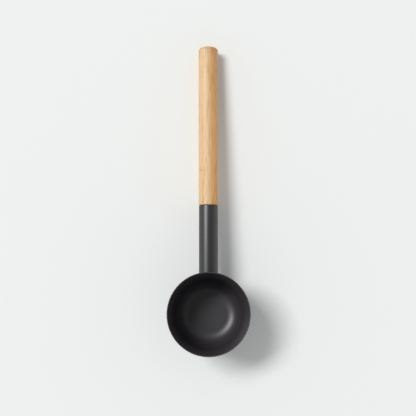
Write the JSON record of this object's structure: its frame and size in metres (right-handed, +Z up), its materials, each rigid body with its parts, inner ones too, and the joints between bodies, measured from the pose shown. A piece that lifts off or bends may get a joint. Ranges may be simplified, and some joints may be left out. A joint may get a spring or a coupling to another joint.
{
  "type": "sauna ladle",
  "caption": "Long-handled sauna ladle: a flat-based flared cup and tube stem in satin black metal with a turned bamboo handle, for throwing water on hot stones.",
  "frame": {"origin": "on the surface that the ladle lies on, under the middle of its bounding box", "axes": "+Y along the ladle, from the cup to the handle's free end; +Z up from that surface; +X to the right of the handle"},
  "size_m": [0.1054, 0.4018, 0.0833],
  "materials": {
    "black_metal": "satin black coating, fine and even",
    "weld_metal": "weld fillet under the same satin black coating",
    "bamboo": "sanded and oiled bamboo, grain along the handle",
    "adhesive": "set adhesive, hidden in the socket"
  },
  "bodies": {
    "root": {"bowl": "black_metal", "stem_tube": "black_metal", "weld_bead": "weld_metal", "handle": "bamboo", "glue_sleeve": "adhesive"}
  },
  "joints": []
}
